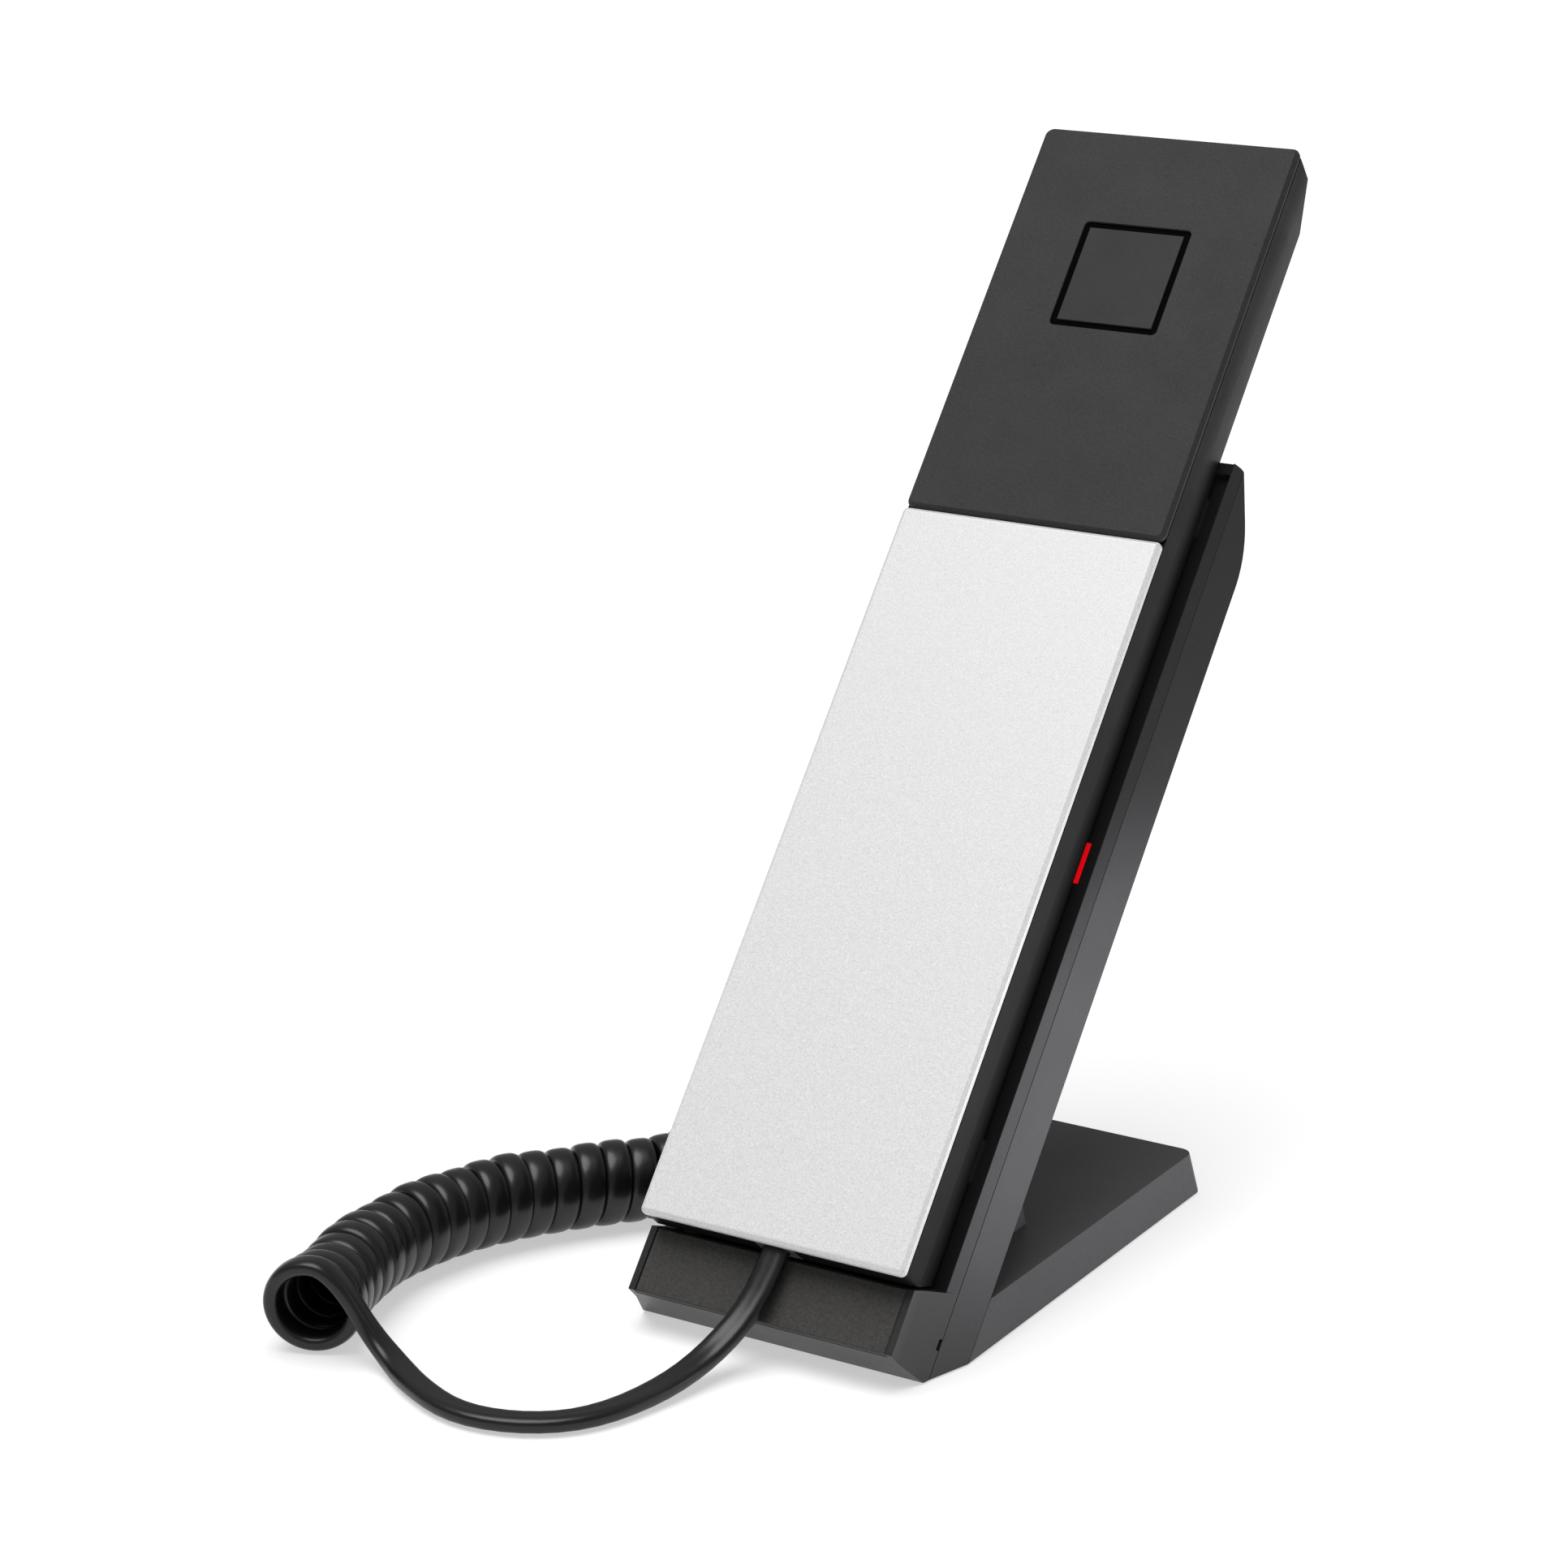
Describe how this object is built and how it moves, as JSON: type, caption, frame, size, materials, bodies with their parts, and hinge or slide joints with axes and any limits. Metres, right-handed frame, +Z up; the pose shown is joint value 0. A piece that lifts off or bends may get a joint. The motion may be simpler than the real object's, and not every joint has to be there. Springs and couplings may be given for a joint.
{
  "type": "corded telephone with stand",
  "caption": "Slim corded handset resting face in on a leaning cradle with a low foot, curly cord, keypad in the handset and a red message light.",
  "frame": {"origin": "on the table, under the middle of the box round the stand and handset", "axes": "+X to the user's right, +Y away from the user, +Z up"},
  "size_m": [0.1092, 0.1925, 0.188],
  "materials": {
    "black_abs": "fine matt moulded ABS, near black",
    "textured_abs": "spark-textured matt ABS",
    "pearl_cover": "pearl silver-white lacquer over ABS",
    "badge_finish": "smooth satin plate",
    "gasket_rubber": "black groove frame",
    "circuit_board": "glass-epoxy board",
    "grey_rubber": "silicone keypad mat",
    "steel": "zinc-plated steel",
    "capsule": "capsule housing",
    "clear_plug": "modular plug, polycarbonate",
    "red_lens": "red light window",
    "switch_housing": "hook switch body",
    "foot_rubber": "moulded rubber",
    "cord_jacket": "glossy black PVC",
    "jack_plastic": "jack housing",
    "key_plastic": "matt key caps"
  },
  "bodies": {
    "root": {"base_board": "circuit_board", "base_plug": "clear_plug", "cord_coil": "cord_jacket", "cord_jack": "jack_plastic", "cord_lead": "cord_jacket", "cord_tail": "cord_jacket", "cradle_front_shell": "black_abs", "cradle_rear_shell": "black_abs", "foot_ballast": "steel", "foot_base_plate": "black_abs", "foot_screws": "steel", "foot_shell": "black_abs", "front_panel": "textured_abs", "front_rubber_feet": "foot_rubber", "hook_leaf_spring": "steel", "hook_switch": "switch_housing", "jack_housing": "black_abs", "line_jack": "jack_plastic", "message_led": "red_lens", "message_lens": "red_lens", "rear_rubber_feet": "foot_rubber", "rest_pads": "foot_rubber"},
    "handset": {"handset_back_shell": "black_abs", "handset_upper_plate": "textured_abs", "handset_lower_cover": "pearl_cover", "badge_plate": "badge_finish", "badge_gasket": "gasket_rubber", "handset_board": "circuit_board", "keypad_mat": "grey_rubber", "handset_weight": "steel", "earpiece_speaker": "capsule", "microphone": "capsule", "handset_screws": "steel", "handset_jack": "jack_plastic", "handset_plug": "clear_plug"},
    "hook_plunger": {"hook_plunger": "black_abs"},
    "key_1_cap": {"key_1": "key_plastic"},
    "key_2_cap": {"key_2": "key_plastic"},
    "key_3_cap": {"key_3": "key_plastic"},
    "key_4_cap": {"key_4": "key_plastic"},
    "key_5_cap": {"key_5": "key_plastic"},
    "key_6_cap": {"key_6": "key_plastic"},
    "key_7_cap": {"key_7": "key_plastic"},
    "key_8_cap": {"key_8": "key_plastic"},
    "key_9_cap": {"key_9": "key_plastic"},
    "key_star_cap": {"key_star": "key_plastic"},
    "key_0_cap": {"key_0": "key_plastic"},
    "key_hash_cap": {"key_hash": "key_plastic"},
    "key_flash_cap": {"key_flash": "key_plastic"},
    "key_redial_cap": {"key_redial": "key_plastic"},
    "key_mute_cap": {"key_mute": "key_plastic"},
    "key_volume_cap": {"key_volume": "key_plastic"}
  },
  "joints": [
    {"name": "handset_lift", "type": "slide", "parent": "root", "child": "handset", "axis": [0, -0.7716, 0.6361], "range_m": [0, 0.08]},
    {"name": "hook_travel", "type": "slide", "parent": "root", "child": "hook_plunger", "axis": [0, -0.7716, 0.6361], "range_m": [0, 0.0021]},
    {"name": "key_1_press", "type": "slide", "parent": "handset", "child": "key_1_cap", "axis": [0, -0.7716, 0.6361], "range_m": [0, 0.0007], "stiffness_N_per_m": 300},
    {"name": "key_2_press", "type": "slide", "parent": "handset", "child": "key_2_cap", "axis": [0, -0.7716, 0.6361], "range_m": [0, 0.0007], "stiffness_N_per_m": 300},
    {"name": "key_3_press", "type": "slide", "parent": "handset", "child": "key_3_cap", "axis": [0, -0.7716, 0.6361], "range_m": [0, 0.0007], "stiffness_N_per_m": 300},
    {"name": "key_4_press", "type": "slide", "parent": "handset", "child": "key_4_cap", "axis": [0, -0.7716, 0.6361], "range_m": [0, 0.0007], "stiffness_N_per_m": 300},
    {"name": "key_5_press", "type": "slide", "parent": "handset", "child": "key_5_cap", "axis": [0, -0.7716, 0.6361], "range_m": [0, 0.0007], "stiffness_N_per_m": 300},
    {"name": "key_6_press", "type": "slide", "parent": "handset", "child": "key_6_cap", "axis": [0, -0.7716, 0.6361], "range_m": [0, 0.0007], "stiffness_N_per_m": 300},
    {"name": "key_7_press", "type": "slide", "parent": "handset", "child": "key_7_cap", "axis": [0, -0.7716, 0.6361], "range_m": [0, 0.0007], "stiffness_N_per_m": 300},
    {"name": "key_8_press", "type": "slide", "parent": "handset", "child": "key_8_cap", "axis": [0, -0.7716, 0.6361], "range_m": [0, 0.0007], "stiffness_N_per_m": 300},
    {"name": "key_9_press", "type": "slide", "parent": "handset", "child": "key_9_cap", "axis": [0, -0.7716, 0.6361], "range_m": [0, 0.0007], "stiffness_N_per_m": 300},
    {"name": "key_star_press", "type": "slide", "parent": "handset", "child": "key_star_cap", "axis": [0, -0.7716, 0.6361], "range_m": [0, 0.0007], "stiffness_N_per_m": 300},
    {"name": "key_0_press", "type": "slide", "parent": "handset", "child": "key_0_cap", "axis": [0, -0.7716, 0.6361], "range_m": [0, 0.0007], "stiffness_N_per_m": 300},
    {"name": "key_hash_press", "type": "slide", "parent": "handset", "child": "key_hash_cap", "axis": [0, -0.7716, 0.6361], "range_m": [0, 0.0007], "stiffness_N_per_m": 300},
    {"name": "key_flash_press", "type": "slide", "parent": "handset", "child": "key_flash_cap", "axis": [0, -0.7716, 0.6361], "range_m": [0, 0.0007], "stiffness_N_per_m": 300},
    {"name": "key_redial_press", "type": "slide", "parent": "handset", "child": "key_redial_cap", "axis": [0, -0.7716, 0.6361], "range_m": [0, 0.0007], "stiffness_N_per_m": 300},
    {"name": "key_mute_press", "type": "slide", "parent": "handset", "child": "key_mute_cap", "axis": [0, -0.7716, 0.6361], "range_m": [0, 0.0007], "stiffness_N_per_m": 300},
    {"name": "key_volume_press", "type": "slide", "parent": "handset", "child": "key_volume_cap", "axis": [0, -0.7716, 0.6361], "range_m": [0, 0.0007], "stiffness_N_per_m": 300}
  ],
  "couplings": [
    {"joint": "hook_travel", "follows": "handset_lift", "ratio": 0.025}
  ]
}
